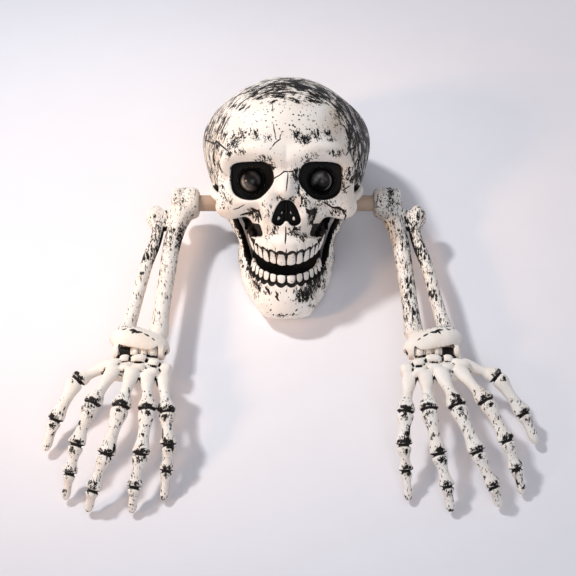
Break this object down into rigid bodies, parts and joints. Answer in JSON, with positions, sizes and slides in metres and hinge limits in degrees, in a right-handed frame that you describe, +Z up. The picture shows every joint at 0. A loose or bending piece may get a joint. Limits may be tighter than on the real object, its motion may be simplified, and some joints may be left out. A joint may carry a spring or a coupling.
{
  "type": "skeleton lawn stake",
  "caption": "Reclined plastic skull with lit eyes and a hinged jaw on a ground stake, its bony forearms and hands pivoting on a cross tube.",
  "frame": {"origin": "the point where the stake's axis meets the level of the ground", "axes": "+Z up out of the ground, -Y the way the skull faces and the hands reach, +X to the right as a viewer in front sees it"},
  "size_m": [0.4172, 0.4417, 0.3247],
  "materials": {
    "ivory_plastic": "ivory moulding, satin, with a black ink wash in the hollows",
    "tube_plastic": "ivory tube, satin",
    "black_plastic": "black moulding, matt",
    "smoked_lens": "dark smoked dome, polished",
    "lamp_plastic": "milky, glossy",
    "wire_skin": "red insulation",
    "board_laminate": "green laminate",
    "cell_sleeve": "plain coloured sleeve",
    "spring_steel": "bright zinc"
  },
  "bodies": {
    "frame": {"ground_stake": "black_plastic", "base_plate": "black_plastic", "saddle_cap": "black_plastic", "cross_tube": "tube_plastic", "skull_face_shell": "ivory_plastic", "skull_crown_shell": "ivory_plastic", "eye_cup_left": "black_plastic", "eye_cup_right": "black_plastic", "eye_lens_left": "smoked_lens", "eye_lens_right": "smoked_lens", "eye_led_left": "lamp_plastic", "eye_led_right": "lamp_plastic", "led_lead_left": "wire_skin", "led_lead_right": "wire_skin", "control_board": "board_laminate", "switch_body": "black_plastic", "battery_cell_1": "cell_sleeve", "battery_cell_2": "cell_sleeve", "battery_contact_1": "spring_steel", "battery_contact_2": "spring_steel", "battery_bridge": "spring_steel", "battery_door_pin": "spring_steel", "shell_screw_1": "spring_steel", "shell_screw_2": "spring_steel", "shell_screw_3": "spring_steel", "shell_screw_4": "spring_steel", "saddle_screw_front": "spring_steel", "saddle_screw_rear": "spring_steel", "jaw_clip_left": "spring_steel", "jaw_clip_right": "spring_steel", "tube_plug_left": "black_plastic", "tube_plug_right": "black_plastic", "elbow_washer_left": "spring_steel", "elbow_washer_right": "spring_steel", "elbow_screw_left": "spring_steel", "elbow_screw_right": "spring_steel"},
    "jaw": {"jaw": "ivory_plastic"},
    "arm_left": {"forearm_left": "ivory_plastic", "wrist_pin_left": "spring_steel"},
    "arm_right": {"forearm_right": "ivory_plastic", "wrist_pin_right": "spring_steel"},
    "hand_left": {"hand_left": "ivory_plastic"},
    "hand_right": {"hand_right": "ivory_plastic"},
    "door": {"battery_door": "black_plastic"},
    "slider": {"switch_slider": "lamp_plastic"}
  },
  "joints": [
    {"name": "jaw_hinge", "type": "hinge", "parent": "frame", "child": "jaw", "pos_m": [0, -0.05, 0.0327], "axis": [1, 0, 0], "range_deg": [-4, 12]},
    {"name": "elbow_left", "type": "hinge", "parent": "frame", "child": "arm_left", "pos_m": [-0.0945, -0.05, 0.0327], "axis": [-1, 0, 0], "range_deg": [-5, 80]},
    {"name": "elbow_right", "type": "hinge", "parent": "frame", "child": "arm_right", "pos_m": [0.0945, -0.05, 0.0327], "axis": [-1, 0, 0], "range_deg": [-5, 80]},
    {"name": "wrist_left", "type": "hinge", "parent": "arm_left", "child": "hand_left", "pos_m": [-0.1265, -0.224, 0.03], "axis": [1, 0, 0], "range_deg": [-20, 40]},
    {"name": "wrist_right", "type": "hinge", "parent": "arm_right", "child": "hand_right", "pos_m": [0.1265, -0.224, 0.03], "axis": [1, 0, 0], "range_deg": [-20, 40]},
    {"name": "door_hinge", "type": "hinge", "parent": "frame", "child": "door", "pos_m": [0, 0.04011, 0.00321], "axis": [1, 0, 0], "range_deg": [0, 90]},
    {"name": "switch_slide", "type": "slide", "parent": "frame", "child": "slider", "axis": [0, -1, 0], "range_m": [0, 0.004]}
  ]
}
